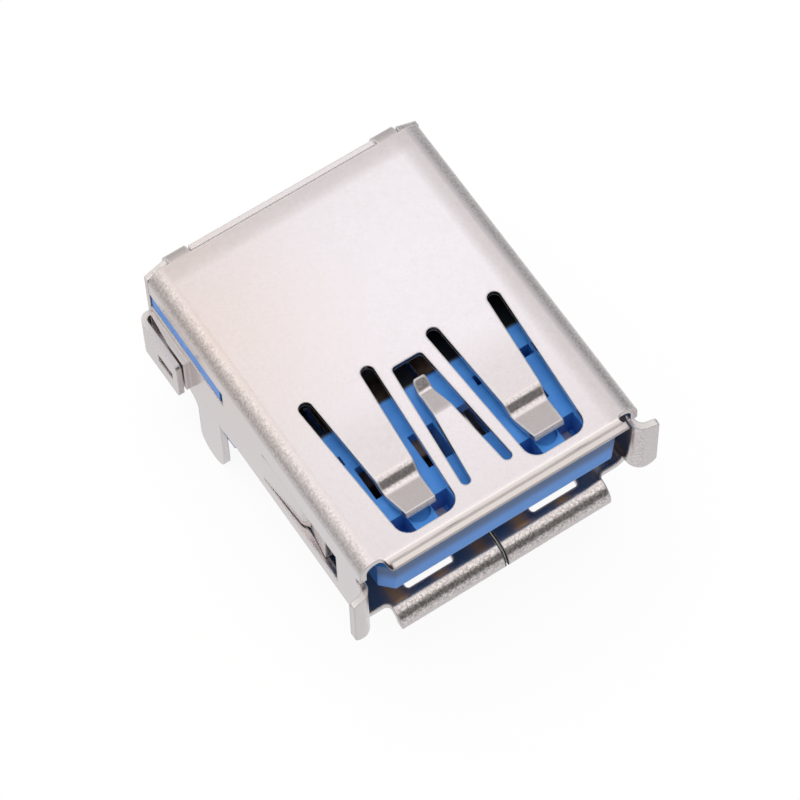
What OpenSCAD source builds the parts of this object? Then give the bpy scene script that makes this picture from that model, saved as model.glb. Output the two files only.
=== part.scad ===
// Right-angle USB 3.0 type-A socket for through-hole mounting, in millimetres.
// X runs across the socket, the mouth faces -Y and Z is up from the board.
// The origin lies on the board surface, mid-width, in the row of the sprung contacts' tails.
// Lengths along Y below are counted from the plane of the mouth, heights from the shell's underside.

/* [Shell tube] */
// Outer width of the shell
shell_width = 13.1; // [12.9:0.05:13.5]
// Outer height of the shell
shell_height = 5.72; // [5.6:0.02:6]
// Rear edge of the tube, behind the mouth plane
shell_length = 16.35; // [16.2:0.05:17.2]
// Sheet thickness of the shell
sheet = 0.3; // [0.26:0.01:0.32]
// Outer corner radius of the tube
shell_corner = 0.75; // [0.6:0.05:0.9]
// Height of the shell's underside above the board
stand_off = 1.2; // [1.1:0.05:1.4]
// Front edge of the upper tube corners, behind the mouth plane
corner_setback = 0.7; // [0.6:0.05:0.8]
// Front edge of the lower tube corners, behind the mouth plane
lower_setback = 1.05; // [1:0.02:1.12]
// Length of the opening in the floor at the rear
rear_opening = 6.15; // [5.85:0.05:6.5]
// Width of the seam along the bottom plate
seam = 0.08; // [0.04:0.01:0.12]

/* [Mouth lips] */
// Bend radius on the hollow side of the top and bottom lips
lip_radius = 0.55; // [0.45:0.05:0.6]
// Width of the lip on the top plate
top_lip_width = 11; // [10.6:0.1:11.1]
// Angle by which the top lip turns up
top_lip_angle = 80; // [70:1:85]
// Straight run of the top lip past its bend
top_lip_reach = 0.1; // [0.06:0.02:0.2]
// Distance by which the top lip stands in front of the mouth plane
top_lip_lead = 0.2; // [0.15:0.01:0.25]
// Width of the lip on the bottom plate
bottom_lip_width = 10.2; // [9.8:0.05:10.5]
// Angle by which the bottom lip turns down
bottom_lip_angle = 80; // [70:1:85]
// Straight run of the bottom lip past its bend
bottom_lip_reach = 0.2; // [0.1:0.02:0.3]
// Distance of the bottom lip behind the mouth plane
bottom_lip_setback = 0.1; // [0.05:0.01:0.12]
// Rounding of the bottom lip's outer corners
bottom_lip_round = 0.2; // [0.1:0.02:0.3]
// Bend radius on the hollow side of the side flares
flare_radius = 0.35; // [0.3:0.01:0.4]
// Angle by which the side flares turn out
flare_angle = 80; // [70:1:85]
// Straight run of the side flares past their bend
flare_reach = 0.46; // [0.3:0.02:0.5]
// Distance of the side flares behind the mouth plane
flare_setback = 0.1; // [0.05:0.01:0.15]
// Lower edge of the side flares above the shell's underside
flare_low = 0.65; // [0.5:0.05:0.9]
// Upper edge of the side flares above the shell's underside
flare_high = 4.1; // [3.8:0.05:4.2]
// Rounding of the flares' lower outer corner
flare_round = 0.7; // [0.4:0.05:0.75]
// Rounding of the flares' upper outer corner
flare_top_round = 0.16; // [0.1:0.02:0.3]
// Height of the relief cut above the side flares
flare_relief = 0.4; // [0.3:0.02:0.6]
// Radius of the fillets at the ends of the top and bottom lips
lip_fillet = 0.24; // [0.16:0.02:0.3]

/* [Spring fingers] */
// Middle of each outer finger, from the centre line
finger_x = 3.02; // [2.95:0.01:3.1]
// Root line of the fingers that point to the mouth
finger_root = 7.76; // [7.6:0.02:8]
// Half width of the top openings at the root line
opening_rear = 1.76; // [1.7:0.01:1.78]
// Half width of the top openings near the mouth
opening_front = 1.33; // [1.25:0.01:1.4]
// Front edge of the top openings
opening_start = 0.92; // [0.9:0.01:1.2]
// Half width of the bottom openings at the root line
floor_opening_rear = 1.6; // [1.55:0.01:1.7]
// Half width of the bottom openings near the mouth
floor_opening_front = 1.12; // [1.1:0.01:1.25]
// Front edge of the bottom openings
floor_opening_start = 1.14; // [1.1:0.01:1.3]
// Width of the slots beside the outer fingers at their root
finger_slot = 0.6; // [0.5:0.01:0.64]
// Half width of an outer finger at its nose
nose_half = 0.87; // [0.8:0.01:0.9]
// Half width of an outer finger at its tip
tip_half = 0.66; // [0.6:0.01:0.76]
// Straight length of an outer finger's arm
finger_arm = 3.95; // [3.8:0.05:4.05]
// Droop of an outer finger's arm
finger_droop = 1.7; // [1:0.1:2.5]
// Angle of the step between arm and nose
step_angle = 42; // [30:1:50]
// Straight length of the step between arm and nose
step_run = 0.28; // [0.2:0.02:0.3]
// Angle by which the nose rises to its tip
nose_lift = 20; // [14:1:24]
// Straight length of the nose
nose_run = 1.24; // [1.1:0.02:1.3]
// Bend radius of the fingers, at mid-thickness
finger_bend = 0.3; // [0.25:0.01:0.35]
// Bend radius between the step and the nose of an outer finger, at mid-thickness
nose_bend = 0.5; // [0.4:0.02:0.6]
// Rounding of the top openings' front corners
opening_round = 0.65; // [0.4:0.05:0.7]
// Rounding of the bottom openings' front corners
floor_opening_round = 0.15; // [0.1:0.05:0.4]
// Root line of the middle finger
middle_root = 1.68; // [1.6:0.02:1.8]
// Rear edge of the middle opening
middle_end = 7.4; // [7.3:0.01:7.5]
// Half width of the middle opening at its rear edge
middle_rear = 0.73; // [0.68:0.01:0.76]
// Half width of the middle opening at the root line
middle_front = 1.19; // [1.14:0.01:1.22]
// Rounding of the middle opening's rear corners
middle_round = 0.2; // [0.1:0.02:0.3]
// Width of the slots beside the middle finger
middle_slot = 0.43; // [0.38:0.01:0.48]
// Straight length of the middle finger's arm
middle_arm = 2.95; // [2.8:0.05:3.1]
// Angle by which the middle finger dips
middle_dip = 20; // [14:1:24]
// Angle by which the middle finger's tip rises
middle_lift = 40; // [34:1:46]
// Straight length of the middle finger's dip
middle_slope = 1.1; // [1:0.05:1.2]
// Straight length of the middle finger's tip
middle_nose = 0.54; // [0.48:0.02:0.6]
// Half width of the middle finger's tip
middle_tip = 0.32; // [0.26:0.01:0.36]
// Root line of the side fingers
side_root = 7.9; // [7.7:0.05:8.1]
// Front edge of the side openings
side_start = 2.5; // [2.3:0.05:2.7]
// Lower edge of the side openings
side_low = 1.5; // [1.3:0.05:1.6]
// Upper edge of the side openings
side_high = 3.75; // [3.6:0.05:3.9]
// Slit beside the side fingers
side_slit = 0.13; // [0.1:0.01:0.16]
// Straight length of a side finger's arm
side_arm = 2.45; // [2.3:0.05:2.6]
// Angle by which a side finger's arm leans in
side_lean = 3.5; // [2.5:0.1:4.5]
// Angle of the step between a side finger's arm and nose
side_step = 40; // [32:1:46]
// Straight length of the step between a side finger's arm and nose
side_step_run = 0.1; // [0.05:0.01:0.16]
// Angle by which a side finger's nose turns out
side_lift = 9; // [5:1:14]
// Straight length of a side finger's nose
side_nose = 1.4; // [1.2:0.05:1.5]

/* [Legs and latches] */
// Distance of the legs' front edge from the shell's rear end
leg_inset = 4.97; // [4.75:0.02:5.15]
// Width of the solder legs
leg_width = 1.8; // [1.6:0.05:1.9]
// Length of the solder legs below the board surface
leg_drop = 2.5; // [2.2:0.05:3.2]
// Fillet between a leg and the wall behind it
leg_fillet = 0.8; // [0.5:0.05:1]
// Lower edge of the wall in front of a leg
wall_edge = 0.5; // [0.4:0.05:0.6]
// Lower edge of the rear slot in the side wall
slot_low = 3.15; // [3.05:0.05:3.3]
// Upper edge of the rear slot in the side wall
slot_high = 4.2; // [4.05:0.05:4.35]
// Length of the slot in the side wall, open at the rear
slot_length = 5.5; // [5.35:0.05:5.7]
// Rise of the latch flap, which is pressed out of the side wall
flap_rise = 0.27; // [0.22:0.01:0.28]
// Distance by which the latch flap stands in front of its wing
flap_lead = 0.15; // [0.1:0.01:0.25]
// Length of the latch flap's flat stretch
flap_flat = 1.2; // [1.1:0.05:1.4]
// Rise of the latch flap at the shell's rear end
flap_rear = 0.12; // [0.1:0.01:0.16]
// Lower edge of the latch flap
flap_low = 0.6; // [0.5:0.05:0.75]
// Upper edge of the latch flap
flap_high = 2.75; // [2.6:0.05:2.9]
// Gap between the latch barb and its window
barb_gap = 0.06; // [0.04:0.01:0.1]
// Height of the latch barb above the top of its flap
barb_rise = 0.2; // [0.12:0.01:0.24]
// Length of the latch barb
barb_length = 0.6; // [0.5:0.05:0.7]
// Inner end of the rear tabs, from the centre line
tab_inner = 4.5; // [4.3:0.05:4.6]
// Outer end of the rear tabs, from the centre line
tab_outer = 5.5; // [5.3:0.05:5.6]
// Length of the rear tabs past their bend
tab_drop = 0.25; // [0.15:0.05:0.4]
// Bend radius inside the rear tabs
tab_radius = 0.35; // [0.25:0.01:0.4]

/* [Rear cover] */
// Sheet thickness of the rear cover
cover_sheet = 0.25; // [0.2:0.01:0.28]
// Lower edge of the back plate above the board
cover_lift = 0.2; // [0.1:0.05:0.4]
// Width of the slanted corners at the top of the back plate
corner_width = 1; // [0.9:0.05:1.05]
// Drop of the slanted corners at the top of the back plate
corner_drop = 0.45; // [0.35:0.05:0.6]
// Bend radius inside the wings
wing_radius = 0.2; // [0.15:0.05:0.25]
// Length of the wings in front of the back plate
wing_length = 2.73; // [2.6:0.02:2.78]
// Lower edge of the wings
wing_low = 0; // [-0.1:0.05:0.2]
// Upper edge of the wings
wing_high = 2.45; // [2.3:0.05:2.6]
// Angle by which the wings lean in towards their front end
wing_lean = 0.4; // [0:0.1:1.5]
// Rounding of the wings' front corners
wing_round = 0.25; // [0.15:0.01:0.4]
// Distance of the window from the wing's front end
window_inset = 0.4; // [0.35:0.01:0.5]
// Length of the latch window
window_length = 1.1; // [1:0.05:1.2]
// Lower edge of the latch window
window_low = 0.85; // [0.8:0.02:0.95]
// Height of the latch window
window_height = 0.6; // [0.5:0.02:0.7]

/* [Insulator] */
// Gap between the tongue and the shell above it
plug_gap = 0.67; // [0.64:0.01:0.72]
// Thickness of the tongue
tongue_thick = 1.8; // [1.7:0.02:1.84]
// Width of the tongue
tongue_width = 11.3; // [11.1:0.05:11.36]
// Front face of the tongue
tongue_start = 0.37; // [0.3:0.01:0.5]
// Chamfer at the tongue's front corners, along the tongue
tongue_chamfer = 0.52; // [0.3:0.02:0.6]
// Rear end of the tongue's full thickness
tongue_step = 6.85; // [6.7:0.05:7]
// Thickness of the tongue behind the step
tongue_root = 0.8; // [0.7:0.02:0.9]
// Depth of the base block
base_depth = 1.6; // [1.4:0.05:1.7]
// Distance of the base block in front of the sprung contacts' tail row
bay_front = 0.5; // [0.4:0.02:0.6]
// Half width of the bay behind the base block
bay_half = 5.3; // [5.1:0.05:5.4]
// Underside of the roof over the bay
bay_top = 4.6; // [4.5:0.05:4.8]
// Length of the feet
foot_length = 2.65; // [2.4:0.05:2.75]
// Inner face of the feet, from the centre line
foot_inner = 4.6; // [4.4:0.05:4.9]
// Thickness of the tail spacer
spacer_thick = 1.4; // [1.2:0.05:1.6]
// Front edge of the wells over the flat contacts
well_start = 1.25; // [1.15:0.05:1.3]
// Length of the wells over the flat contacts
well_length = 0.95; // [0.8:0.05:1.05]
// Width of the wells over the flat contacts
well_width = 0.95; // [0.85:0.05:1]
// Side of the core-pin holes over the flat contacts
pin_hole = 0.45; // [0.35:0.01:0.5]
// Middle of the core-pin holes
pin_hole_y = 5.48; // [5.3:0.02:5.8]
// Middle of the gate recesses
gate_y = 2; // [1.8:0.05:2.2]
// Radius of the gate recesses
gate_radius = 0.5; // [0.4:0.01:0.52]
// Depth of the gate recesses
gate_depth = 0.2; // [0.1:0.02:0.3]

/* [Contacts] */
// Sheet thickness of the contacts
contact_sheet = 0.2; // [0.15:0.01:0.22]
// Offset of the inner pair of sprung contacts
spring_inner = 1; // [0.95:0.01:1.05]
// Offset of the outer pair of sprung contacts
spring_outer = 3.5; // [3.45:0.01:3.55]
// Width of the sprung contacts
spring_width = 0.7; // [0.6:0.02:0.76]
// Width of the slots for the sprung contacts
spring_slot = 1.2; // [1.1:0.02:1.24]
// Thickness of the tongue left over the slots
slot_skin = 0.65; // [0.6:0.01:0.7]
// Height of the sprung contacts' run over the tongue's lower face
spring_lift = 0.435; // [0.43:0.005:0.46]
// Distance of a sprung contact's tip from the front of its pocket
tip_inset = 0.15; // [0.1:0.01:0.2]
// Rise of a sprung contact's tip over its run
tip_rise = 0.335; // [0.3:0.005:0.36]
// Angle at which a sprung contact's tip dives
tip_dive = 48; // [44:1:52]
// Straight length of a sprung contact's tip
tip_down = 1.35; // [1.25:0.01:1.4]
// Bend radius of a sprung contact's bow
bow_radius = 0.45; // [0.4:0.01:0.5]
// Angle at which a sprung contact's arm rises
arm_rise = 22; // [20:1:24]
// Bend radius between a sprung contact's arm and its run
ease_radius = 0.5; // [0.4:0.05:0.6]
// Front end of the sprung contacts' pockets
pocket_start = 3.3; // [3.2:0.02:3.4]
// Length of the sprung contacts' pockets
pocket_length = 1.6; // [1.5:0.05:1.7]
// Pitch of the flat contacts
flat_spacing = 2; // [1.98:0.01:2.04]
// Offset by which the flat contacts step outwards between the sprung ones
flat_step = 0.25; // [0.22:0.01:0.28]
// Width of the flat contacts at the pads
pad_width = 0.6; // [0.5:0.02:0.7]
// Width of the flat contacts behind the pads
flat_width = 0.46; // [0.4:0.02:0.5]
// Front end of the flat contacts
flat_start = 0.95; // [0.9:0.01:1.05]
// Length of the flat contacts' pads
pad_length = 2; // [1.9:0.05:2.1]
// Length over which the flat contacts step sideways
jog_length = 0.65; // [0.55:0.05:0.75]
// Distance behind the sprung contacts' tails at which the flat ones step back
jog_gap = 0.3; // [0.25:0.01:0.4]
// Depth of the pads inside the tongue's lower face
pad_recess = 0.1; // [0.06:0.01:0.14]
// Distance between the two rows of tails
row_pitch = 1.5; // [1.4:0.02:1.6]
// Distance of the rear row of tails from the shell's rear end
row_inset = 0.75; // [0.65:0.02:0.85]
// Length of the tails below the board surface
tail_drop = 2.6; // [2:0.05:3.2]
// Bend radius of the tails, at mid-thickness
tail_bend = 0.25; // [0.2:0.01:0.3]
// Width of the tails
tail_width = 0.6; // [0.5:0.02:0.66]

/* [Fits] */
// Clearance between the insulator and the sheet parts
fit = 0.05; // [0.03:0.01:0.08]
// Clearance of the contacts in their slots
contact_fit = 0.02; // [0.01:0.01:0.04]
// Clearance between the rear cover and the shell
cover_fit = 0.03; // [0.02:0.01:0.05]
// Gap between the rear cover and the edges of the rear tabs
tab_gap = 0.08; // [0.05:0.01:0.12]

/* [Hidden] */
$fn = 48;
half_width = shell_width / 2;
inner_half = half_width - sheet;
inner_top = shell_height - sheet;
inner_corner = shell_corner - sheet;
wall_middle = half_width - sheet / 2;
// Bend lines of the lips, set back from the plane in which each lip ends
top_bend = curl_length(lip_radius, top_lip_angle, top_lip_reach) - top_lip_lead;
bottom_bend = curl_length(lip_radius, bottom_lip_angle, bottom_lip_reach) + bottom_lip_setback;
flare_bend = curl_length(flare_radius, flare_angle, flare_reach) + flare_setback;
// Length over which fingers and lips are rooted in the sheet, and the overlap of joined stretches
finger_base = 0.3;
lip_base = 0.1;
lap = 0.01;
// Length by which cuts run past the faces that they open
beyond = 1;
// Places at the rear, counted from the shell's rear end
floor_end = shell_length - rear_opening;
slot_start = shell_length - slot_length;
leg_start = shell_length - leg_inset;
flat_row = shell_length - row_inset;
spring_row = flat_row - row_pitch;
base_end = spring_row - bay_front;
base_start = base_end - base_depth;
foot_start = base_end - foot_length;
// Rear tabs and the plane of the rear cover
plate_front = shell_length + cover_fit;
plate_rear = plate_front + cover_sheet;
tab_bend = plate_rear + cover_fit - tab_radius;
// Wings of the rear cover and the latch flaps that they clear at their front end
wing_start = plate_front - wing_length;
window_start = wing_start + window_inset;
flap_start = wing_start - flap_lead;
flap_crest = flap_start + flap_flat;
wing_angle = 90 + wing_lean;
wing_inner = half_width + flap_rise + cover_fit;
wing_reach = (wing_length - wing_radius * (1 - cos(wing_angle))) / sin(wing_angle);
wing_bend = wing_inner - wing_radius * sin(wing_angle) - wing_reach * cos(wing_angle);
// Tongue levels
tongue_top = inner_top - plug_gap;
tongue_low = tongue_top - tongue_thick;
tongue_half = tongue_width / 2;
step_top = tongue_low + tongue_root;
bay_end = shell_length - fit;
// Contact levels and places
slot_roof = tongue_top - slot_skin;
flat_level = tongue_low + pad_recess;
flat_top = flat_level + contact_sheet;
spring_level = tongue_low + spring_lift;
spring_places = [-spring_outer, -spring_inner, spring_inner, spring_outer];
flat_places = [-2, -1, 0, 1, 2];
pad_end_y = flat_start + pad_length;
jog_end_y = pad_end_y + jog_length;
back_jog_y = [spring_row + jog_gap, spring_row + jog_gap + jog_length];
tail_tip = -stand_off - tail_drop;
// Colours
nickel = [0.83, 0.81, 0.80];
cover_nickel = [0.76, 0.75, 0.75];
blue = [0.16, 0.42, 0.78];
dark_blue = [0.11, 0.30, 0.60];
spring_metal = [0.84, 0.72, 0.42];
flat_metal = [0.78, 0.76, 0.72];

// Outline in (y, z), extruded along X.
module along_x(x0, x1) {
    translate([x0, 0, 0]) rotate([90, 0, 90]) linear_extrude(x1 - x0) children();
}

// Outline in (x, z), extruded along Y.
module along_y(y0, y1) {
    translate([0, y1, 0]) rotate([90, 0, 0]) linear_extrude(y1 - y0) children();
}

// Outline in (x, y), extruded along Z.
module along_z(z0, z1) {
    translate([0, 0, z0]) linear_extrude(z1 - z0) children();
}

// Box between two corners.
module span(low, high) {
    translate(low) cube(high - low);
}

module both_sides() {
    children();
    mirror([1, 0, 0]) children();
}

// Rectangle with round corners, centred on x, standing on y = 0.
module round_rect(width, height, radius) {
    translate([radius - width / 2, 0]) square([width - 2 * radius, height]);
    translate([-width / 2, radius]) square([width, height - 2 * radius]);
    for (x = [radius - width / 2, width / 2 - radius], y = [radius, height - radius])
        translate([x, y]) circle(radius);
}

// Arch with round upper corners, standing on y = 0 with straight sides.
module arch(width, height, radius) {
    translate([-width / 2, 0]) square([width, height - radius]);
    translate([radius - width / 2, 0]) square([width - 2 * radius, height]);
    for (x = [radius - width / 2, width / 2 - radius])
        translate([x, height - radius]) circle(radius);
}

// Distance from a bend line to the front end of a curled edge of the shell.
function curl_length(radius, angle, reach) = (radius + sheet) * sin(angle) + reach * cos(angle);

// Distance by which the hollow side of a curled edge turns away from its sheet.
function curl_rise(radius, angle, reach) = radius * (1 - cos(angle)) + reach * sin(angle);

// Ring sector about the origin from one angle to another, under 180 degrees apart.
module ring_sector(inner, outer, from, to) {
    far = 2 * outer;
    middle = (from + to) / 2;
    intersection() {
        difference() {
            circle(outer);
            circle(inner);
        }
        polygon([[0, 0], far * [cos(from), sin(from)], far * [cos(middle), sin(middle)],
                 far * [cos(to), sin(to)]]);
    }
}

// Edge of a sheet that curls: it comes in along +X just below y = 0, bends up and runs on straight.
module curl(thick, radius, angle, reach, root) {
    translate([-root, -thick]) square([root, thick]);
    translate([0, radius]) {
        ring_sector(radius, radius + thick, -90, angle - 90);
        rotate(angle) translate([-lap, -radius - thick]) square([reach + lap, thick]);
    }
}

// Points along a bent strip: each step is a straight length, a bend radius and a turn.
function bend_marks(at, heading, radius, turn) =
    let (count = ceil(abs(turn) / 9))
    [for (k = [1:1:count])
        let (now = heading + turn * k / count)
        [at + sign(turn) * radius * [sin(now) - sin(heading), cos(heading) - cos(now)], now]];
function walk(steps, at, heading, i = 0) =
    i >= len(steps) ? [] :
    let (corner = at + steps[i][0] * [cos(heading), sin(heading)],
         marks = concat([[corner, heading]], bend_marks(corner, heading, steps[i][1], steps[i][2])),
         last = marks[len(marks) - 1])
    concat(marks, walk(steps, last[0], last[1], i + 1));

// Bent strip of even thickness that starts at a point with a heading.
module strip(steps, thick, at, heading) {
    marks = concat([[at, heading]], walk(steps, at, heading));
    half = thick / 2;
    left = [for (m = marks) m[0] + half * [-sin(m[1]), cos(m[1])]];
    right = [for (k = [len(marks) - 1:-1:0]) marks[k][0] - half * [-sin(marks[k][1]), cos(marks[k][1])]];
    polygon(concat(left, right));
}

// Profile of a finger: a long arm, a step down to the nose and a tip that rises again.
module finger_profile(arm, droop, step, run, turn, lift, nose) {
    strip([[finger_base, finger_bend, -droop], [arm, finger_bend, droop - step],
           [run, turn, step + lift], [nose, 0, 0]],
          sheet, [-finger_base, 0], 0);
}

// Profile of the middle finger.
module middle_profile() {
    strip([[finger_base + middle_arm, 2 * finger_bend, -middle_dip],
           [middle_slope, finger_bend, middle_dip + middle_lift],
           [middle_nose, 0, 0]],
          sheet, [-finger_base, 0], 0);
}

// Opening round an outer finger, mouth end at the lower y.
module finger_opening(rear, front, start, round) {
    slope = (rear - front) / (finger_root - start);
    shoulder = front + slope * round;
    slot_x = rear - finger_slot / 2;
    polygon([[-rear, finger_root], [-shoulder, start + round],
             [shoulder, start + round], [rear, finger_root]]);
    translate([round - shoulder, start]) square([2 * (shoulder - round), 2 * round]);
    for (side = [-1, 1]) {
        translate([side * (shoulder - round), start + round]) circle(round);
        translate([side * slot_x, finger_root]) circle(finger_slot / 2);
    }
}

// Plan of an outer finger, tapering to its nose and tip.
module finger_plan(rear) {
    root_half = rear - finger_slot;
    nose_y = finger_root - finger_arm - step_run;
    tip_y = nose_y - finger_bend - nose_bend - nose_run;
    polygon([[-root_half, finger_root + finger_base], [-root_half, finger_root], [-nose_half, nose_y],
             [-tip_half, tip_y], [tip_half, tip_y], [nose_half, nose_y],
             [root_half, finger_root], [root_half, finger_root + finger_base]]);
}

module middle_opening() {
    slot_x = middle_front - middle_slot / 2;
    shoulder = middle_rear - middle_round;
    polygon([[-middle_front, middle_root], [-middle_rear, middle_end - middle_round],
             [middle_rear, middle_end - middle_round], [middle_front, middle_root]]);
    translate([-shoulder, middle_root]) square([2 * shoulder, middle_end - middle_root]);
    for (side = [-1, 1]) {
        translate([side * slot_x, middle_root]) circle(middle_slot / 2);
        translate([side * shoulder, middle_end - middle_round]) circle(middle_round);
    }
}

module middle_plan() {
    root_half = middle_front - middle_slot;
    tip_y = middle_root + middle_arm + middle_slope + middle_nose;
    polygon([[-root_half, middle_root - finger_base], [root_half, middle_root - finger_base],
             [root_half, middle_root], [middle_tip, tip_y - middle_nose], [middle_tip, tip_y],
             [-middle_tip, tip_y], [-middle_tip, tip_y - middle_nose], [-root_half, middle_root]]);
    translate([0, tip_y]) circle(middle_tip);
}

// Fingers seen from the inside of a plate whose outer face is at z = 0 and whose inside is below it.
module outer_finger(rear) {
    intersection() {
        along_x(-rear, rear)
            translate([finger_root, -sheet / 2]) mirror([1, 0])
                finger_profile(finger_arm, finger_droop, step_angle, step_run, nose_bend, nose_lift,
                               nose_run);
        along_z(-shell_height / 2, sheet) finger_plan(rear);
    }
}

module middle_finger() {
    intersection() {
        along_x(-middle_front, middle_front)
            translate([middle_root, -sheet / 2]) middle_profile();
        along_z(-shell_height / 2, sheet) middle_plan();
    }
}

// Tube with a full floor in front and open below at the rear.
module tube() {
    along_y(corner_setback, floor_end) difference() {
        round_rect(shell_width, shell_height, shell_corner);
        translate([0, sheet]) round_rect(2 * inner_half, inner_top - sheet, inner_corner);
    }
    along_y(floor_end, shell_length) difference() {
        arch(shell_width, shell_height, shell_corner);
        translate([0, -sheet]) arch(2 * inner_half, shell_height, inner_corner);
    }
}

// Front of the tube, cut back on the +X half for the flare, its relief and the bottom lip.
module mouth_cuts() {
    relief_z = flare_high + flare_relief / 2;
    span([inner_half - sheet, -sheet, flare_low], [half_width + sheet, flare_bend, relief_z]);
    along_x(inner_half - sheet, half_width + sheet) {
        translate([0, flare_high]) square([flare_bend, flare_relief]);
        translate([flare_bend, relief_z]) circle(flare_relief / 2);
    }
    span([-sheet, -sheet, -sheet], [half_width + sheet, lower_setback, flare_low]);
}

// Openings round the fingers and the cuts at the rear, on the +X half.
module tube_cuts() {
    translate([finger_x, 0, 0]) {
        along_z(inner_top - sheet, shell_height + sheet)
            finger_opening(opening_rear, opening_front, opening_start, opening_round);
        along_z(-sheet, 2 * sheet)
            finger_opening(floor_opening_rear, floor_opening_front, floor_opening_start,
                           floor_opening_round);
    }
    span([inner_half - sheet, side_start, side_low], [half_width + sheet, side_root, side_high]);
    // Rear: slot for the insulator's rib and the low wall edge in front of the leg.
    span([inner_half - sheet, slot_start, slot_low], [half_width + sheet, shell_length + sheet, slot_high]);
    span([inner_half - sheet, floor_end, -sheet], [half_width + sheet, leg_start, wall_edge]);
}

// Plan of a lip, with a fillet where each end leaves the front edge of the tube.
module lip_plan(half, edge) {
    translate([-half, -beyond]) square([2 * half, beyond + edge + lip_base]);
    for (side = [0, 1])
        mirror([side, 0]) difference() {
            translate([half - lip_base, edge - lip_fillet])
                square([lip_base + lip_fillet, lip_fillet + lip_base]);
            translate([half + lip_fillet, edge - lip_fillet]) circle(lip_fillet);
        }
}

module top_lip() {
    half = top_lip_width / 2;
    intersection() {
        along_x(-half - lip_fillet, half + lip_fillet)
            translate([top_bend, shell_height]) mirror([1, 0])
                curl(sheet, lip_radius, top_lip_angle, top_lip_reach, corner_setback + lip_base - top_bend);
        along_z(inner_top, shell_height + beyond) lip_plan(half, corner_setback);
    }
}

module bottom_lip() {
    half = bottom_lip_width / 2;
    round_x = half - bottom_lip_round;
    low = -curl_rise(lip_radius, bottom_lip_angle, bottom_lip_reach);
    intersection() {
        along_x(-half - lip_fillet, half + lip_fillet)
            translate([bottom_bend, 0]) rotate(180)
                curl(sheet, lip_radius, bottom_lip_angle, bottom_lip_reach,
                     lower_setback + lip_base - bottom_bend);
        along_z(low - beyond, sheet) lip_plan(half, lower_setback);
        along_y(-beyond, lower_setback + lip_base) {
            translate([-half - lip_fillet, low + bottom_lip_round])
                square([2 * (half + lip_fillet), sheet - low]);
            translate([-round_x, low]) square([2 * round_x, sheet - low]);
            for (x = [-round_x, round_x])
                translate([x, low + bottom_lip_round]) circle(bottom_lip_round);
        }
    }
}

module side_flare() {
    tip = half_width + curl_rise(flare_radius, flare_angle, flare_reach);
    intersection() {
        along_z(flare_low, flare_high)
            translate([half_width, flare_bend]) rotate(-90)
                curl(sheet, flare_radius, flare_angle, flare_reach, lip_base);
        along_y(-sheet, flare_bend + lip_base) {
            square([tip - flare_round, flare_high]);
            translate([0, flare_low + flare_round])
                square([tip, flare_high - flare_low - flare_round - flare_top_round]);
            translate([0, flare_high - 2 * flare_top_round])
                square([tip - flare_top_round, 2 * flare_top_round]);
            translate([tip - flare_round, flare_low + flare_round]) circle(flare_round);
            translate([tip - flare_top_round, flare_high - flare_top_round]) circle(flare_top_round);
        }
    }
}

module leg() {
    radius = leg_width / 2;
    end_z = radius - stand_off - leg_drop;
    along_x(inner_half, half_width) {
        translate([leg_start, end_z]) square([leg_width, wall_edge + sheet - end_z]);
        translate([leg_start + radius, end_z]) circle(radius);
        difference() {
            translate([leg_start + leg_width - lip_base, -leg_fillet])
                square([leg_fillet + lip_base, leg_fillet + lip_base]);
            translate([leg_start + leg_width + leg_fillet, -leg_fillet]) circle(leg_fillet);
        }
    }
}

// Plan of the latch flap, pressed out from a face of the wall and sheared free at its front end.
module flap_plan(face, end) {
    polygon([[face, flap_start], [face + flap_rise, flap_start], [face + flap_rise, flap_crest],
             [face + flap_rear, shell_length], [face + flap_rear, end], [face, end]]);
}

// Barb on the latch flap that stands in the window of the rear cover's wing.
module latch_barb() {
    top = half_width + flap_rise + barb_rise;
    start = window_start + barb_gap;
    along_z(window_low + barb_gap, window_low + window_height - barb_gap)
        polygon([[wall_middle, start], [top, start], [wall_middle + flap_rise, start + barb_length],
                 [wall_middle, start + barb_length]]);
}

module rear_tab() {
    along_x(tab_inner, tab_outer)
        translate([tab_bend, inner_top]) mirror([0, 1])
            curl(sheet, tab_radius, 90, tab_drop, finger_base);
}

module shell_half_springs() {
    translate([finger_x, 0, shell_height]) outer_finger(opening_rear);
    translate([finger_x, 0, 0]) mirror([0, 0, 1]) outer_finger(floor_opening_rear);
    along_z(side_low + side_slit, side_high - side_slit)
        translate([wall_middle, side_root]) rotate(-90)
            finger_profile(side_arm, side_lean, side_step, side_step_run, finger_bend, side_lift,
                           side_nose);
}

module shell() {
    color(nickel) difference() {
        union() {
            difference() {
                union() {
                    difference() {
                        tube();
                        both_sides() mouth_cuts();
                    }
                    top_lip();
                    bottom_lip();
                }
                both_sides() tube_cuts();
                along_z(inner_top - sheet, shell_height + sheet) middle_opening();
            }
            translate([0, 0, shell_height]) middle_finger();
            both_sides() {
                shell_half_springs();
                side_flare();
                leg();
                along_z(flap_low, flap_high) flap_plan(half_width - lap, shell_length);
                latch_barb();
                rear_tab();
            }
        }
        both_sides() along_z(flap_low, flap_high) flap_plan(inner_half - lap, shell_length + sheet);
        span([-seam / 2, -sheet, -stand_off], [seam / 2, floor_end + sheet, 2 * sheet]);
    }
}

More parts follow.
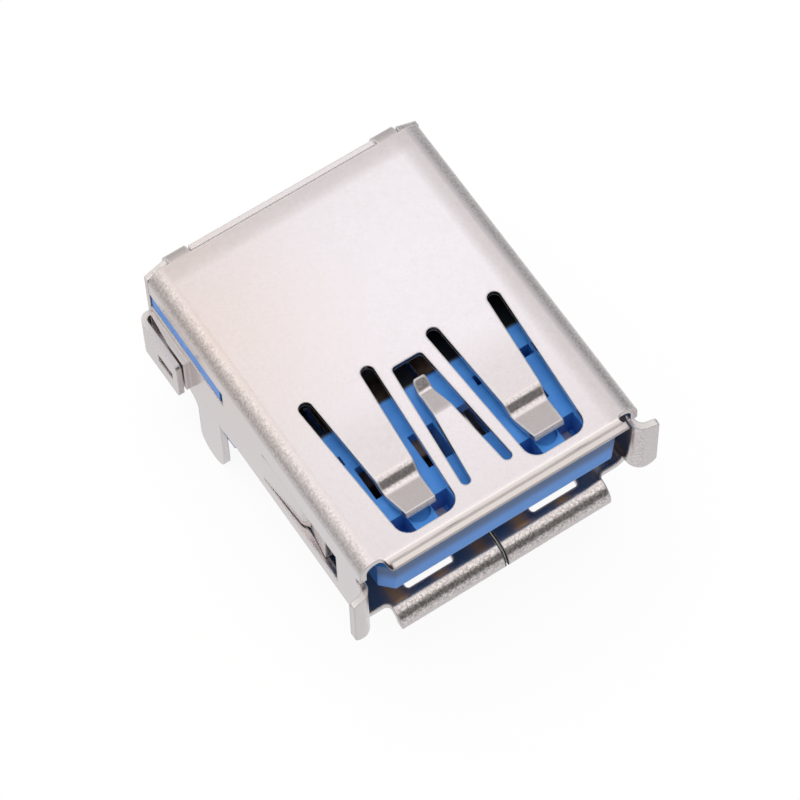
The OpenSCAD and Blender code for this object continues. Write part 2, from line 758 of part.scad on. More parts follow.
// Back plate that closes the rear, with a wing that clips over each latch flap.
module rear_cover() {
    low = cover_lift - stand_off;
    top = shell_height - cover_fit;
    corner_x = half_width - corner_width;
    corner_z = top - corner_drop;
    color(cover_nickel) {
        along_y(plate_front, plate_rear) difference() {
            polygon([[-half_width, low], [half_width, low], [half_width, corner_z], [corner_x, top],
                     [-corner_x, top], [-half_width, corner_z]]);
            for (side = [-1, 1])
                translate([side * (tab_inner + tab_outer) / 2 - (tab_outer - tab_inner) / 2 - tab_gap,
                           inner_top - tab_radius - cover_fit])
                    square([tab_outer - tab_inner + 2 * tab_gap, shell_height]);
        }
        both_sides() wing();
    }
}

module wing() {
    difference() {
        intersection() {
            along_z(wing_low, wing_high)
                translate([wing_bend, plate_front]) mirror([0, 1])
                    curl(cover_sheet, wing_radius, wing_angle, wing_reach, finger_base);
            along_x(wing_bend - finger_base, wing_bend + beyond) {
                translate([wing_start + wing_round, wing_low])
                    square([wing_length + beyond, wing_high - wing_low]);
                translate([wing_start, wing_low + wing_round])
                    square([wing_length, wing_high - wing_low - 2 * wing_round]);
                for (z = [wing_low + wing_round, wing_high - wing_round])
                    translate([wing_start + wing_round, z]) circle(wing_round);
            }
        }
        span([half_width, window_start, window_low],
             [wing_bend + beyond, window_start + window_length, window_low + window_height]);
    }
}

// Tongue, base block, ribs and feet in one moulding.
module insulator_body() {
    side = inner_half - fit;
    top = inner_top - fit;
    round = inner_corner;
    // Tongue with chamfered front corners, thinner behind the step.
    along_z(tongue_low, tongue_top) polygon([
        [-tongue_half, tongue_step], [-tongue_half, tongue_start + tongue_chamfer],
        [tongue_chamfer - tongue_half, tongue_start], [tongue_half - tongue_chamfer, tongue_start],
        [tongue_half, tongue_start + tongue_chamfer], [tongue_half, tongue_step]]);
    span([-tongue_half, tongue_step - sheet, tongue_low], [tongue_half, base_start + fit, step_top]);
    // Base block with a bay for the tails behind it.
    difference() {
        along_y(base_start, bay_end) arch(2 * side, top, round);
        span([-bay_half, base_end, -beyond], [bay_half, bay_end + beyond, bay_top]);
    }
    // Floor that carries on from the shell's bottom plate, with a foot at each side.
    span([-side, floor_end + fit, 0], [side, base_end, sheet]);
    both_sides() {
        span([foot_inner, foot_start, -stand_off], [side, base_end, sheet]);
        span([side - sheet, slot_start + sheet, slot_low + fit],
             [half_width - fit, bay_end, slot_high - fit]);
    }
}

// Slots and pockets for one sprung contact.
module spring_cavity() {
    half = spring_slot / 2;
    narrow = spring_width / 2 + contact_fit;
    span([-half, pocket_start, tongue_low - beyond], [half, base_start, slot_roof]);
    span([-half, pocket_start, tongue_low], [half, pocket_start + pocket_length, tongue_top + beyond]);
    span([-narrow, base_start - beyond, spring_level - contact_sheet / 2 - contact_fit],
         [narrow, base_end + beyond, spring_level + contact_sheet / 2 + contact_fit]);
}

// Plan of a flat contact, widened on every side by a margin; the place counts pitches from the centre.
module flat_plan(place, margin) {
    pad_x = place * flat_spacing;
    run_x = place * (flat_spacing + flat_step);
    pad_half = pad_width / 2 + margin;
    run_half = flat_width / 2 + margin;
    tail_half = tail_width / 2 + margin;
    end_y = flat_row - tail_bend;
    marks = [[flat_start - margin, pad_x, pad_half], [pad_end_y, pad_x, pad_half],
             [jog_end_y, run_x, run_half], [back_jog_y[0], run_x, run_half],
             [back_jog_y[1], pad_x, tail_half], [end_y, pad_x, tail_half]];
    polygon(concat([for (m = marks) [m[1] - m[2], m[0]]],
                   [for (k = [len(marks) - 1:-1:0]) [marks[k][1] + marks[k][2], marks[k][0]]]));
}

// Channel, well and pin hole for one flat contact.
module flat_cavity(place) {
    pad_x = place * flat_spacing;
    run_x = place * (flat_spacing + flat_step);
    groove = pad_width / 2 + contact_fit;
    along_z(flat_level - contact_fit, flat_top + contact_fit) flat_plan(place, contact_fit);
    span([pad_x - groove, flat_start - contact_fit, tongue_low - beyond],
         [pad_x + groove, pad_end_y, flat_level]);
    span([pad_x - well_width / 2, well_start, flat_top],
         [pad_x + well_width / 2, well_start + well_length, tongue_top + beyond]);
    span([run_x - pin_hole / 2, pin_hole_y - pin_hole / 2, flat_top],
         [run_x + pin_hole / 2, pin_hole_y + pin_hole / 2, tongue_top + beyond]);
}

module insulator() {
    color(blue) difference() {
        insulator_body();
        for (x = spring_places) translate([x, 0, 0]) spring_cavity();
        for (place = flat_places) flat_cavity(place);
        for (side = [-1, 1])
            translate([side * 1.5 * flat_spacing, gate_y, tongue_top - gate_depth])
                cylinder(beyond, r = gate_radius);
    }
}

// Plate between the cheeks of the bay that keeps the tails in their hole pattern.
module tail_spacer() {
    hole_half = tail_width / 2 + contact_fit;
    hole_deep = contact_sheet / 2 + contact_fit;
    color(dark_blue) difference() {
        span([fit - bay_half, base_end + fit, -stand_off],
             [bay_half - fit, bay_end, spacer_thick - stand_off]);
        for (x = spring_places)
            span([x - hole_half, spring_row - hole_deep, -stand_off - beyond],
                 [x + hole_half, spring_row + hole_deep, spacer_thick]);
        for (place = flat_places)
            span([place * flat_spacing - hole_half, flat_row - hole_deep, -stand_off - beyond],
                 [place * flat_spacing + hole_half, flat_row + hole_deep, spacer_thick]);
    }
}

// Sprung contact: tip in its pocket, bow below the tongue, run through the base and tail.
module spring_contact(place) {
    tip_y = pocket_start + tip_inset;
    sink = tip_down * sin(tip_dive) - bow_radius * (cos(tip_dive) - cos(arm_rise));
    climb = (sink - tip_rise - ease_radius * (1 - cos(arm_rise))) / sin(arm_rise);
    run_start = tip_y + tip_down * cos(tip_dive) + bow_radius * (sin(arm_rise) + sin(tip_dive))
                + climb * cos(arm_rise) + ease_radius * sin(arm_rise);
    run = spring_row - tail_bend - run_start;
    drop = spring_level - tail_bend - tail_tip;
    color(spring_metal) translate([spring_places[place], 0, 0]) {
        along_x(-spring_width / 2, spring_width / 2)
            strip([[tip_down, bow_radius, tip_dive + arm_rise], [climb, ease_radius, -arm_rise],
                   [run, tail_bend, -90], [tail_bend, 0, 0]],
                  contact_sheet, [tip_y, spring_level + tip_rise], -tip_dive);
        along_x(-tail_width / 2, tail_width / 2)
            translate([spring_row - contact_sheet / 2, tail_tip])
                square([contact_sheet, drop]);
    }
}

// Flat contact: pad at the tongue's lower face, stepped run between the sprung ones and tail.
module flat_contact(place) {
    middle = flat_level + contact_sheet / 2;
    drop = middle - tail_bend - tail_tip;
    color(flat_metal) {
        along_z(flat_level, flat_top) flat_plan(place, 0);
        translate([place * flat_spacing, 0, 0]) along_x(-tail_width / 2, tail_width / 2)
            strip([[finger_base, tail_bend, -90], [drop, 0, 0]], contact_sheet,
                  [flat_row - tail_bend - finger_base, middle], 0);
    }
}

// From the mouth plane and the shell's underside to the row of tails and the board surface.
module seated() {
    translate([0, -spring_row, stand_off]) children();
}

seated() shell();
seated() rear_cover();
seated() insulator();
seated() tail_spacer();
seated() spring_contact(3);  // contact_vbus
seated() spring_contact(2);  // contact_data_minus
seated() spring_contact(1);  // contact_data_plus
seated() spring_contact(0);  // contact_ground
seated() flat_contact(-2);  // contact_receive_minus
seated() flat_contact(-1);  // contact_receive_plus
seated() flat_contact(0);  // contact_drain
seated() flat_contact(1);  // contact_transmit_minus
seated() flat_contact(2);  // contact_transmit_plus
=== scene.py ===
"""Studio scene of a right-angle USB socket with a stamped shell and a blue tongue."""

import math

import bpy
from mathutils import Matrix, Vector


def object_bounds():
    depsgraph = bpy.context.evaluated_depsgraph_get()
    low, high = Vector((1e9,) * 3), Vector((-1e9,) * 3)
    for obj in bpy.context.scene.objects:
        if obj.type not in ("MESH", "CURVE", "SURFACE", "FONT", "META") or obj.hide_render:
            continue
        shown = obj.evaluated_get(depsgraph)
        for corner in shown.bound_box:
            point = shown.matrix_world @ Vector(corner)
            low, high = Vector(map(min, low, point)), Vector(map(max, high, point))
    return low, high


MM = 0.001

# Viewing angle of the photograph: place of the camera seen from the target, in degrees and metres.
CAMERA_AZIMUTH = -31.563
CAMERA_ELEVATION = 62.925
CAMERA_ROLL = -2.012
CAMERA_DISTANCE = 160.148 * MM
CAMERA_TARGET = Vector((-0.449, -6.892, 4.2)) * MM
CAMERA_LENS = 179.26
SENSOR_WIDTH = 36.0

# Studio floor: its reach round the object, its colour, and the share of it that shows as background.
FLOOR_SIZE = 3.0
FLOOR_COLOR = (0.9, 0.89, 0.9, 1)
FLOOR_GLOW = 0.92
# The metal mirrors a pool of light: its middle, its inner and outer radius, and the light at each.
POOL_MIDDLE = Vector((0, -6, 0)) * MM
POOL_RADII = (8 * MM, 34 * MM)
POOL_LIGHT = (0.93, 0.62)
# Light of the room: overhead, what the zenith and the left add to it, and along the horizon
# behind, at most, to the right and in front.
ROOM_OVERHEAD = 1.22
ROOM_ZENITH = 0.45
ROOM_LEFT = 0.2
ROOM_BEHIND = 1.0
ROOM_MOST = 0.75
ROOM_RIGHT = -0.14
ROOM_LEVEL = 0.29
ROOM_FRONT = 0.2
# Share of the overhead light by height, all round, then by height in front; heights are sines.
ROOM_RISE = ((0.25, 0.0), (0.53, 0.25), (0.72, 0.58), (0.87, 0.93), (0.95, 1.0))
ROOM_RISE_AHEAD = (0.56, 0.74)
# Directions over which the room turns to its front, its zenith and its left.
ROOM_TURN_AHEAD = (0.0, -0.35)
ROOM_TURN_ZENITH = (0.92, 0.985)
ROOM_TURN_LEFT = (0.15, -0.2)
# Tints of the room's light on the left and on the right, and the directions between them.
ROOM_WARM = (1.0, 0.975, 0.95, 1)
ROOM_COOL = (1.0, 1.0, 1.02, 1)
ROOM_TURN_COOL = (0.28, 0.6)
# Softboxes: direction from the object in millimetres, size in metres, power and colour.
TOP_SOFTBOX = (Vector((106, 164, 349)), 0.05, 0.0085, (0.78, 0.86, 1.0))
# The key light reaches into the slots and is kept out of the metal's reflections.
KEY_SOFTBOX = (Vector((-20, 60, 390)), 0.25, 0.4, (1.0, 1.0, 1.0))

# Lengths and places from here on are in millimetres. Pairs give where a change starts and where it
# is complete; those named FACING are parts of a normal along one axis.

# Nickel plate, with a warm tint of painted light round one corner that fades unevenly, and a satin mottle.
NICKEL = (0.59, 0.545, 0.555, 1)
WARM_LIT_NICKEL = (0.61, 0.53, 0.505, 1)
WARM_PLACE = Vector((-6.5, -1.5, 6.8))
WARM_RADII = (7, 1)
WARM_WANDER = 3.0
SATIN = 0.12
MOTTLE = (0.3, 0.7)
MOTTLE_GLOSS = 0.02
# Grain on the bends: its colours and specks, its share on flat faces, how much coarser it is low at the
# mouth, and the facings that count as a bend and not as the rear.
DULL_GRAIN = (0.38, 0.345, 0.335, 1)
BRIGHT_GRAIN = (0.83, 0.79, 0.77, 1)
GRAIN_SPECKS = (0.38, 0.62)
FLAT_GRAIN = 0.1
COARSE_GRAIN = 2.2
COARSE_BELOW = (1.6, 1.3)
SQUARE_FACING = (0.99, 0.93)
REARWARD_FACING = (0.2, 0.1)
# Sheared edges, rougher and lightened with a painted highlight: colour, shine, roughness added, and the turn
# of the normal that marks an edge.
CUT_EDGE = (0.82, 0.80, 0.79, 1)
EDGE_SHINE = 0.8
EDGE_DULLING = 0.4
EDGE_TURN = (0.995, 0.9)
# Top edges of the flaps and wings, which take the sheared edges' painted highlight: across, in height and
# facing.
LEDGE = (6.58, 6.62)
LEDGE_ABOVE = (3.3, 3.4)
LEDGE_FACING = (0.8, 0.95)
# Falls of the top plate towards its right and rear edges: from, to, and depth at each.
RIGHT_FALL = (5.0, 6.9, 0, -0.085)
REAR_FALL = (1.2, 3.4, 0, -0.09)
# Easing of the outer fingers' arms at their root: root line, length, slope, end and facing.
ARM_ROOT = -6.34
ARM_EASE = 2.6
ARM_SLOPE = 0.045
ARM_END = (-12.2, -11.8)
ARM_FACING = (-0.02, -0.03)
# Top lip, with a painted highlight in its hollow and painted shade on its rim: its start along the socket
# and in height, and the facing of its hollow.
LIP_HOLLOW_HIGHLIGHT = (0.96, 0.91, 0.90, 1)
LIP_RIM_SHADE = (0.52, 0.485, 0.475, 1)
LIP_START = (-12.9, -13.1)
LIP_RISE = (6.921, 6.926)
HOLLOW_FACING = (0.0, 0.04)
# Seam along the bottom plate, darkened with painted shade: its half width with the turned edges, and the
# height it stays under.
SEAM_SHADE = (0.05, 0.045, 0.045, 1)
SEAM_HALF = (0.12, 0.07)
SEAM_BELOW = (2.0, 1.9)

# Contacts: tinned tails, and a front of bare bronze with a gold flash on the side that meets the plug; the
# bronze is darkened with painted shade.
TIN = (0.58, 0.55, 0.52, 1)
SHADED_BRONZE = (0.15, 0.09, 0.065, 1)
GOLD = (0.95, 0.60, 0.27, 1)
GOLD_FACING = (-0.5, -0.2)
# End of the contacts' front part, which wanders, and of the tips of the flat ones, lightened with a painted
# highlight.
FRONT_END = (-5.6, -5.0)
FRONT_WANDER = 0.4
TIP_HIGHLIGHT = (0.86, 0.79, 0.77, 1)
TIP_END = (-11.6, -11.2)

# Moulded plastic of the tongue and of the tail spacer: colours, flow clouds, skin and lighter edges.
BLUE = (0.05, 0.24, 0.70, 1)
BLUE_LIGHT = (0.065, 0.28, 0.76, 1)
SPACER_BLUE = (0.022, 0.12, 0.42, 1)
SPACER_BLUE_LIGHT = (0.032, 0.15, 0.47, 1)
FLOW_CLOUDS = (0.35, 0.65)
SKIN_GRAIN = (0.3, 0.7)
SKIN_SHINE = 0.05
SKIN_DULLING = 0.07
PLASTIC_EDGE_LIGHT = 1.35
PLASTIC_EDGE_SHARE = 0.35
# Unlit root of the tongue: its colour, half width, stretch over which it darkens, and facing.
DEPTHS_COLOR = (0.012, 0.014, 0.024, 1)
DEPTHS_ACROSS = (6.1, 5.9)
DEPTHS_START = (-7.45, -7.3)
DEPTHS_FACING = (0.2, 0.6)
# Shade on the tongue's underside: strength, stretch and facing.
UNDERSIDE_SHADE = 0.6
UNDERSIDE_START = (-7.3, -7.45)
UNDERSIDE_FACING = (-0.6, -0.9)
# Shade of the top lip on the tongue's front face: strength, heights, stretch and facing.
LIP_SHADE = 0.65
LIP_SHADE_HEIGHTS = (4.75, 5.5)
LIP_SHADE_START = (-13.0, -13.2)
LIP_SHADE_FACING = (-0.3, -0.6)


class Shader:
    """A node tree under construction, with one call per node."""

    def __init__(self, tree):
        self.tree = tree
        tree.nodes.clear()

    def add(self, kind, inputs=(), **settings):
        """Makes a node. Inputs are a value or another node's output socket, by name or number."""
        node = self.tree.nodes.new(kind)
        for name, value in settings.items():
            setattr(node, name, value)
        for name, value in dict(inputs).items():
            if isinstance(value, bpy.types.NodeSocket):
                self.tree.links.new(value, node.inputs[name])
            else:
                node.inputs[name].default_value = value
        return node

    def math(self, operation, *values):
        return self.add("ShaderNodeMath", enumerate(values), operation=operation).outputs[0]

    def vector_math(self, operation, *values):
        return self.add("ShaderNodeVectorMath", enumerate(values), operation=operation)

    def mix(self, factor, first, second):
        """Blend of two colours."""
        node = self.add("ShaderNodeMix", {0: factor}, data_type="RGBA")
        for socket, value in ((node.inputs[6], first), (node.inputs[7], second)):
            if isinstance(value, bpy.types.NodeSocket):
                self.tree.links.new(value, socket)
            else:
                socket.default_value = value
        return node.outputs[2]

    def ramp(self, factor, stops):
        """Colour ramp through (position, colour) stops."""
        node = self.add("ShaderNodeValToRGB", {"Fac": factor})
        elements = node.color_ramp.elements
        while len(elements) < len(stops):
            elements.new(1.0)
        for element, (position, color) in zip(elements, stops):
            element.position = position
            element.color = color
        return node.outputs["Color"]

    def axes(self, vector):
        """The three parts of a vector."""
        return self.add("ShaderNodeSeparateXYZ", {0: vector}).outputs

    def facing(self):
        """The three parts of the surface normal, along the part's own axes."""
        return self.axes(self.add("ShaderNodeTexCoord").outputs["Normal"])

    def noise(self, vector, scale, detail=3.0, roughness=0.55):
        inputs = {"Vector": vector, "Scale": scale, "Detail": detail, "Roughness": roughness}
        return self.add("ShaderNodeTexNoise", inputs).outputs["Fac"]

    def bump(self, height, distance, strength, normal):
        """Normal turned by a relief whose height is in the given distance."""
        inputs = {"Height": height, "Distance": distance, "Strength": strength, "Normal": normal}
        return self.add("ShaderNodeBump", inputs).outputs["Normal"]

    def span(self, value, low, high, to_low=0.0, to_high=1.0, course="LINEAR"):
        """Maps a value from one range to another, clamped."""
        inputs = {"Value": value, "From Min": low, "From Max": high, "To Min": to_low, "To Max": to_high}
        return self.add("ShaderNodeMapRange", inputs, interpolation_type=course).outputs["Result"]

    def millimetres(self, stretch=(1, 1, 1)):
        """Object coordinates in millimetres."""
        place = self.add("ShaderNodeTexCoord").outputs["Object"]
        scale = tuple(factor / MM for factor in stretch)
        return self.add("ShaderNodeMapping", {"Vector": place, "Scale": scale}).outputs["Vector"]


def new_material(name):
    material = bpy.data.materials.new(name)
    material.use_nodes = True
    return material, Shader(material.node_tree)


def rounding(shader, radius, samples):
    """Surface normal with the edges rounded to a radius in millimetres."""
    return shader.add("ShaderNodeBevel", {"Radius": radius * MM}, samples=samples).outputs["Normal"]


def edge_mask(shader, rounded):
    """1 on the edges that the rounding turns, 0 on open faces."""
    normal = shader.add("ShaderNodeNewGeometry").outputs["Normal"]
    turn = shader.vector_math("DOT_PRODUCT", rounded, normal).outputs["Value"]
    return shader.span(turn, *EDGE_TURN)


def ledge_mask(shader, place):
    """1 on the top edges of the flaps and wings outside the side walls."""
    x, _, z = shader.axes(place)
    upward = shader.facing()[2]
    high = shader.math("MULTIPLY", shader.span(z, *LEDGE_ABOVE), shader.span(upward, *LEDGE_FACING))
    return shader.math("MULTIPLY", shader.span(shader.math("ABSOLUTE", x), *LEDGE), high)


def bend_mask(shader):
    """1 on bends that face forward or sideways, 0 on faces that lie square to the part."""
    normal = shader.add("ShaderNodeTexCoord").outputs["Normal"]
    x, y, z = shader.axes(shader.vector_math("ABSOLUTE", normal).outputs[0])
    most = shader.math("MAXIMUM", shader.math("MAXIMUM", x, y), z)
    rearward = shader.axes(normal)[1]
    return shader.math("MULTIPLY", shader.span(most, *SQUARE_FACING),
                       shader.span(rearward, *REARWARD_FACING))


def flat_relief(shader, place, normal):
    """No relief beyond the solid's own."""
    return normal


def crowned(shader, place, normal):
    """Top plate that falls away a little at its right and rear edges, with arms that bend in gently."""
    x, y, _ = shader.axes(place)
    rearward = shader.facing()[1]
    fall = shader.math("ADD", shader.span(x, *RIGHT_FALL, course="SMOOTHSTEP"),
                       shader.span(y, *REAR_FALL, course="SMOOTHSTEP"))
    along = shader.span(y, ARM_ROOT, ARM_ROOT - ARM_EASE)
    eased = shader.math("MULTIPLY_ADD", shader.math("MULTIPLY", along, along), -0.5, along)
    on_arm = shader.math("MULTIPLY", shader.span(rearward, *ARM_FACING), shader.span(y, *ARM_END))
    arm = shader.math("MULTIPLY", eased, on_arm)
    height = shader.math("MULTIPLY_ADD", arm, ARM_SLOPE * ARM_EASE, fall)
    return shader.bump(height, distance=1 * MM, strength=1.0, normal=normal)


def no_mouth_light(shader, place, color):
    """No painted light; only the plating's own colour."""
    return color


def mouth_painted_light(shader, place, color):
    """Painted light at the mouth: a painted highlight in the curled top lip's hollow, painted shade on its
    rim and in the bottom plate's butt seam.
    """
    x, y, z = shader.axes(place)
    rearward = shader.facing()[1]
    lip = shader.math("MULTIPLY", shader.span(y, *LIP_START), shader.span(z, *LIP_RISE))
    curled = shader.mix(shader.span(rearward, *HOLLOW_FACING), LIP_RIM_SHADE, LIP_HOLLOW_HIGHLIGHT)
    middle = shader.span(shader.math("ABSOLUTE", x), *SEAM_HALF)
    seam = shader.math("MULTIPLY", middle, shader.span(z, *SEAM_BELOW))
    return shader.mix(seam, shader.mix(lip, color, curled), SEAM_SHADE)


def nickel_with_warm_light(shader, place, cloud):
    """Nickel with a warm tint of painted light that fades out unevenly."""
    away = shader.vector_math("DISTANCE", place, WARM_PLACE).outputs["Value"]
    inner = shader.math("SUBTRACT", away, WARM_WANDER / 2)
    uneven = shader.math("MULTIPLY_ADD", cloud, WARM_WANDER, inner)
    return shader.mix(shader.span(uneven, *WARM_RADII), NICKEL, WARM_LIT_NICKEL)


def contact_plating(shader, place, cloud):
    """Tin at the tails; gold at the front where it faces down, elsewhere bronze darkened with painted shade,
    with a painted highlight on the tips.
    """
    along = shader.axes(place)[1]
    upward = shader.facing()[2]
    upper = shader.mix(shader.span(along, *TIP_END), TIP_HIGHLIGHT, SHADED_BRONZE)
    front = shader.mix(shader.span(upward, *GOLD_FACING), GOLD, upper)
    wander = shader.math("MULTIPLY_ADD", cloud, FRONT_WANDER, along)
    return shader.mix(shader.span(wander, *FRONT_END), front, TIN)


def plated_sheet(name, plating, roughness, grain, edge_radius, sheared, relief=flat_relief, mouth_light=no_mouth_light):
    """Plated sheet metal: satin mottle, rolling marks, grain on the bends and matt sheared edges with a
    painted highlight.
    """
    material, shader = new_material(name)
    place = shader.millimetres()
    cloud = shader.noise(place, scale=0.35, detail=2.0)
    mottle = shader.noise(place, scale=3.0, detail=4.0, roughness=0.7)
    rolled = shader.noise(shader.millimetres(stretch=(9, 0.5, 9)), scale=1.0)
    fine = shader.noise(place, scale=9.0, detail=2.0, roughness=0.7)
    rounded = relief(shader, place, rounding(shader, edge_radius, samples=6))
    turned = edge_mask(shader, rounding(shader, sheared, samples=8))
    edge = shader.math("MAXIMUM", turned, ledge_mask(shader, place))
    _, along, height = shader.axes(place)
    low_mouth = shader.math("MULTIPLY", shader.span(height, *COARSE_BELOW), shader.span(along, *LIP_START))
    coarse = shader.span(low_mouth, 0, 1, grain, COARSE_GRAIN * grain)
    bent = shader.span(bend_mask(shader), 0, 1, FLAT_GRAIN * grain, coarse)
    clean = plating(shader, place, cloud)
    satin = shader.mix(shader.span(mottle, *MOTTLE, 0.0, SATIN), clean, CUT_EDGE)
    specks = shader.mix(shader.span(fine, *GRAIN_SPECKS), DULL_GRAIN, BRIGHT_GRAIN)
    # Painted highlight: sheared edges and the flaps' top edges are lightened towards the cut edge colour.
    shine = shader.math("MULTIPLY", edge, EDGE_SHINE)
    color = mouth_light(shader, place, shader.mix(shine, shader.mix(bent, satin, specks), CUT_EDGE))
    gloss = shader.span(mottle, *MOTTLE, roughness - MOTTLE_GLOSS, roughness + MOTTLE_GLOSS)
    gloss = shader.math("MULTIPLY_ADD", edge, EDGE_DULLING, gloss)
    marks = shader.bump(rolled, distance=0.004 * MM, strength=0.04, normal=rounded)
    grained = shader.bump(fine, distance=0.008 * MM, strength=bent, normal=marks)
    inputs = {"Base Color": color, "Metallic": 1.0, "Roughness": gloss, "Normal": grained}
    surface = shader.add("ShaderNodeBsdfPrincipled", inputs)
    shader.add("ShaderNodeOutputMaterial", {"Surface": surface.outputs["BSDF"]})
    return material


def depths(shader, place):
    """Painted shade: 1 deep under the shell, at the root of the tongue; less on its underside and under the
    top lip.
    """
    x, y, z = shader.axes(place)
    _, rearward, upward = shader.facing()
    inside = shader.span(shader.math("ABSOLUTE", x), *DEPTHS_ACROSS)
    root = shader.math("MULTIPLY", shader.span(y, *DEPTHS_START), shader.span(upward, *DEPTHS_FACING))
    below = shader.math("MULTIPLY", shader.span(y, *UNDERSIDE_START),
                        shader.span(upward, *UNDERSIDE_FACING, 0, UNDERSIDE_SHADE))
    front = shader.math("MULTIPLY", shader.span(rearward, *LIP_SHADE_FACING),
                        shader.span(y, *LIP_SHADE_START))
    high = shader.span(z, *LIP_SHADE_HEIGHTS, 0, LIP_SHADE, course="SMOOTHSTEP")
    under_lip = shader.math("MULTIPLY", high, front)
    darkest = shader.math("MAXIMUM", under_lip, shader.math("MAXIMUM", root, below))
    return shader.math("MULTIPLY", inside, darkest)


def moulded_plastic(name, color, light_color, roughness):
    """Glass-filled moulding: faint flow clouds, a matt fine skin, soft edges and painted shade in its
    depths.
    """
    material, shader = new_material(name)
    place = shader.millimetres()
    flow = shader.noise(shader.millimetres(stretch=(0.5, 1.2, 0.5)), scale=1.0)
    skin = shader.noise(place, scale=22.0, detail=2.0)
    rounded = rounding(shader, radius=0.05, samples=4)
    edge = shader.math("MULTIPLY", edge_mask(shader, rounded), PLASTIC_EDGE_SHARE)
    edge_color = tuple(min(1, PLASTIC_EDGE_LIGHT * part) for part in light_color)
    body = shader.mix(shader.span(flow, *FLOW_CLOUDS), color, light_color)
    tint = shader.mix(depths(shader, place), shader.mix(edge, body, edge_color), DEPTHS_COLOR)
    gloss = shader.span(skin, *SKIN_GRAIN, roughness - SKIN_SHINE, roughness + SKIN_DULLING)
    relief = shader.bump(skin, distance=0.01 * MM, strength=0.15, normal=rounded)
    inputs = {"Base Color": tint, "Roughness": gloss, "Normal": relief, "Specular IOR Level": 0.45}
    surface = shader.add("ShaderNodeBsdfPrincipled", inputs)
    shader.add("ShaderNodeOutputMaterial", {"Surface": surface.outputs["BSDF"]})
    return material


def floor_material():
    """White table that shows as background to the eye, as a pool of light in the metal, with a shadow."""
    material, shader = new_material("studio_floor")
    rays = shader.add("ShaderNodeLightPath").outputs
    seen = shader.math("MAXIMUM", rays["Is Camera Ray"],
                       shader.math("MAXIMUM", rays["Is Glossy Ray"], rays["Is Transmission Ray"]))
    place = shader.add("ShaderNodeTexCoord").outputs["Object"]
    away = shader.vector_math("DISTANCE", place, POOL_MIDDLE).outputs["Value"]
    pool = shader.span(away, *POOL_RADII, *POOL_LIGHT)
    strength = shader.math("MAXIMUM", pool, rays["Is Camera Ray"])
    matt = shader.add("ShaderNodeBsdfDiffuse", {"Color": FLOOR_COLOR}).outputs["BSDF"]
    white = {"Color": (1, 1, 1, 1), "Strength": strength}
    glow = shader.add("ShaderNodeEmission", white).outputs["Emission"]
    share = shader.math("MULTIPLY", seen, FLOOR_GLOW)
    mixed = shader.add("ShaderNodeMixShader", {0: share, 1: matt, 2: glow})
    shader.add("ShaderNodeOutputMaterial", {"Surface": mixed.outputs[0]})
    return material


def add_floor(height):
    half = FLOOR_SIZE / 2
    mesh = bpy.data.meshes.new("studio_floor")
    corners = [(-half, -half, height), (half, -half, height), (half, half, height), (-half, half, height)]
    mesh.from_pydata(corners, [], [(0, 1, 2, 3)])
    mesh.materials.append(floor_material())
    floor = bpy.data.objects.new("studio_floor", mesh)
    bpy.context.scene.collection.objects.link(floor)


def add_room():
    """Soft room light: bright overhead and behind, dimmer to the right and dark in front."""
    world = bpy.data.worlds.new("studio")
    world.use_nodes = True
    bpy.context.scene.world = world
    shader = Shader(world.node_tree)
    direction = shader.add("ShaderNodeTexCoord").outputs["Generated"]
    x, y, z = shader.axes(direction)
    level = shader.math("MULTIPLY_ADD", y, ROOM_BEHIND, ROOM_LEVEL)
    level = shader.math("MAXIMUM", shader.math("MULTIPLY_ADD", x, ROOM_RIGHT, level), ROOM_FRONT)
    level = shader.math("MINIMUM", level, ROOM_MOST)
    height = shader.math("MULTIPLY_ADD", x, ROOM_RIGHT, z)
    around = shader.ramp(height, [(at, (share, share, share, 1)) for at, share in ROOM_RISE])
    ahead = shader.span(z, *ROOM_RISE_AHEAD)
    in_front = shader.span(y, *ROOM_TURN_AHEAD)
    rise = shader.add("ShaderNodeMix", {0: in_front, 2: around, 3: ahead}).outputs[0]
    overhead = shader.span(z, *ROOM_TURN_ZENITH, ROOM_OVERHEAD, ROOM_OVERHEAD + ROOM_ZENITH)
    overhead = shader.math("ADD", overhead, shader.span(x, *ROOM_TURN_LEFT, 0, ROOM_LEFT))
    strength = shader.add("ShaderNodeMix", {0: rise, 2: level, 3: overhead}).outputs[0]
    tint = shader.mix(shader.span(x, *ROOM_TURN_COOL), ROOM_WARM, ROOM_COOL)
    background = shader.add("ShaderNodeBackground", {"Color": tint, "Strength": strength})
    shader.add("ShaderNodeOutputWorld", {"Surface": background.outputs["Background"]})


def add_softbox(name, place, target, size, power, color):
    """Square area lamp that faces the target."""
    lamp = bpy.data.lights.new(name, "AREA")
    lamp.shape = "SQUARE"
    lamp.size = size
    lamp.energy = power
    lamp.color = color
    softbox = bpy.data.objects.new(name, lamp)
    softbox.location = place
    softbox.rotation_euler = (target - place).to_track_quat("-Z", "Y").to_euler()
    bpy.context.scene.collection.objects.link(softbox)
    return softbox


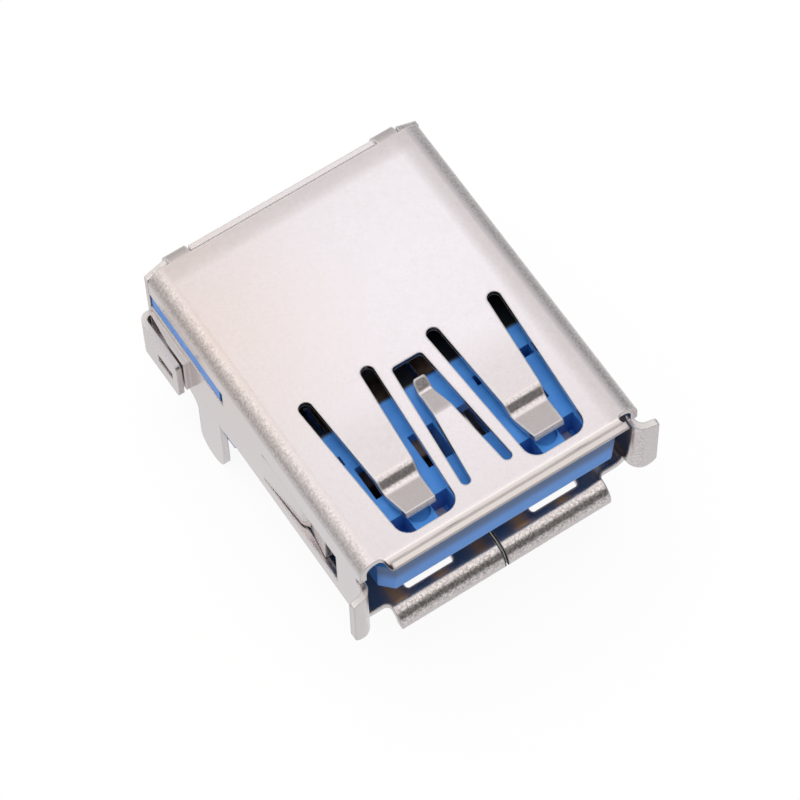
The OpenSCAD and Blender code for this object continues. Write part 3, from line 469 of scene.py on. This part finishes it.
def add_camera():
    azimuth = math.radians(CAMERA_AZIMUTH)
    elevation = math.radians(CAMERA_ELEVATION)
    roll = math.radians(CAMERA_ROLL)
    back = Vector((math.sin(azimuth) * math.cos(elevation), -math.cos(azimuth) * math.cos(elevation),
                   math.sin(elevation)))
    level_right = Vector((0, 0, 1)).cross(back).normalized()
    level_up = back.cross(level_right)
    right = math.cos(roll) * level_right + math.sin(roll) * level_up
    up = math.cos(roll) * level_up - math.sin(roll) * level_right
    lens = bpy.data.cameras.new("photo_camera")
    lens.lens = CAMERA_LENS
    lens.sensor_width = SENSOR_WIDTH
    lens.clip_start = 1 * MM
    camera = bpy.data.objects.new("photo_camera", lens)
    turn = Matrix((right, up, back)).transposed().to_4x4()
    camera.matrix_world = Matrix.Translation(CAMERA_TARGET + CAMERA_DISTANCE * back) @ turn
    bpy.context.scene.collection.objects.link(camera)
    bpy.context.scene.camera = camera


def dress(node, material):
    """Gives a CAD node its finish."""
    node.data.materials.clear()
    node.data.materials.append(material)


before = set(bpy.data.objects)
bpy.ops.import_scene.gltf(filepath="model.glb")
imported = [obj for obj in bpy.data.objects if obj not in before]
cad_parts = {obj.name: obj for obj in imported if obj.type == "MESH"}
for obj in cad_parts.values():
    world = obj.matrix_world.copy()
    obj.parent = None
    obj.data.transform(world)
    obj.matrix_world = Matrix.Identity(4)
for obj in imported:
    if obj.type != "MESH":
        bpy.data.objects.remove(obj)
cad_low, cad_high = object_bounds()

shell_metal = plated_sheet("shell_metal", nickel_with_warm_light, roughness=0.21, grain=0.4, edge_radius=0.09, sheared=0.18,
                           relief=crowned, mouth_light=mouth_painted_light)
cover_metal = plated_sheet("cover_metal", nickel_with_warm_light, roughness=0.24, grain=0.45, edge_radius=0.05, sheared=0.17)
contact_metal = plated_sheet("contact_metal", contact_plating, roughness=0.4, grain=0.1, edge_radius=0.03,
                             sheared=0.05)
blue_plastic = moulded_plastic("blue_plastic", BLUE, BLUE_LIGHT, roughness=0.42)
spacer_plastic = moulded_plastic("spacer_plastic", SPACER_BLUE, SPACER_BLUE_LIGHT, roughness=0.46)

finishes = {"shell": shell_metal, "rear_cover": cover_metal, "insulator": blue_plastic,
            "tail_spacer": spacer_plastic}
for name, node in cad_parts.items():
    dress(node, finishes.get(name, contact_metal))

add_floor(cad_low.z)
add_room()
middle = (cad_low + cad_high) / 2
for name, (place, size, power, color) in (("top_softbox", TOP_SOFTBOX), ("key_softbox", KEY_SOFTBOX)):
    softbox = add_softbox(name, middle + place * MM, middle, size, power, color)
    softbox.visible_glossy = name != "key_softbox"
add_camera()

bpy.context.scene.view_settings.view_transform = "Standard"
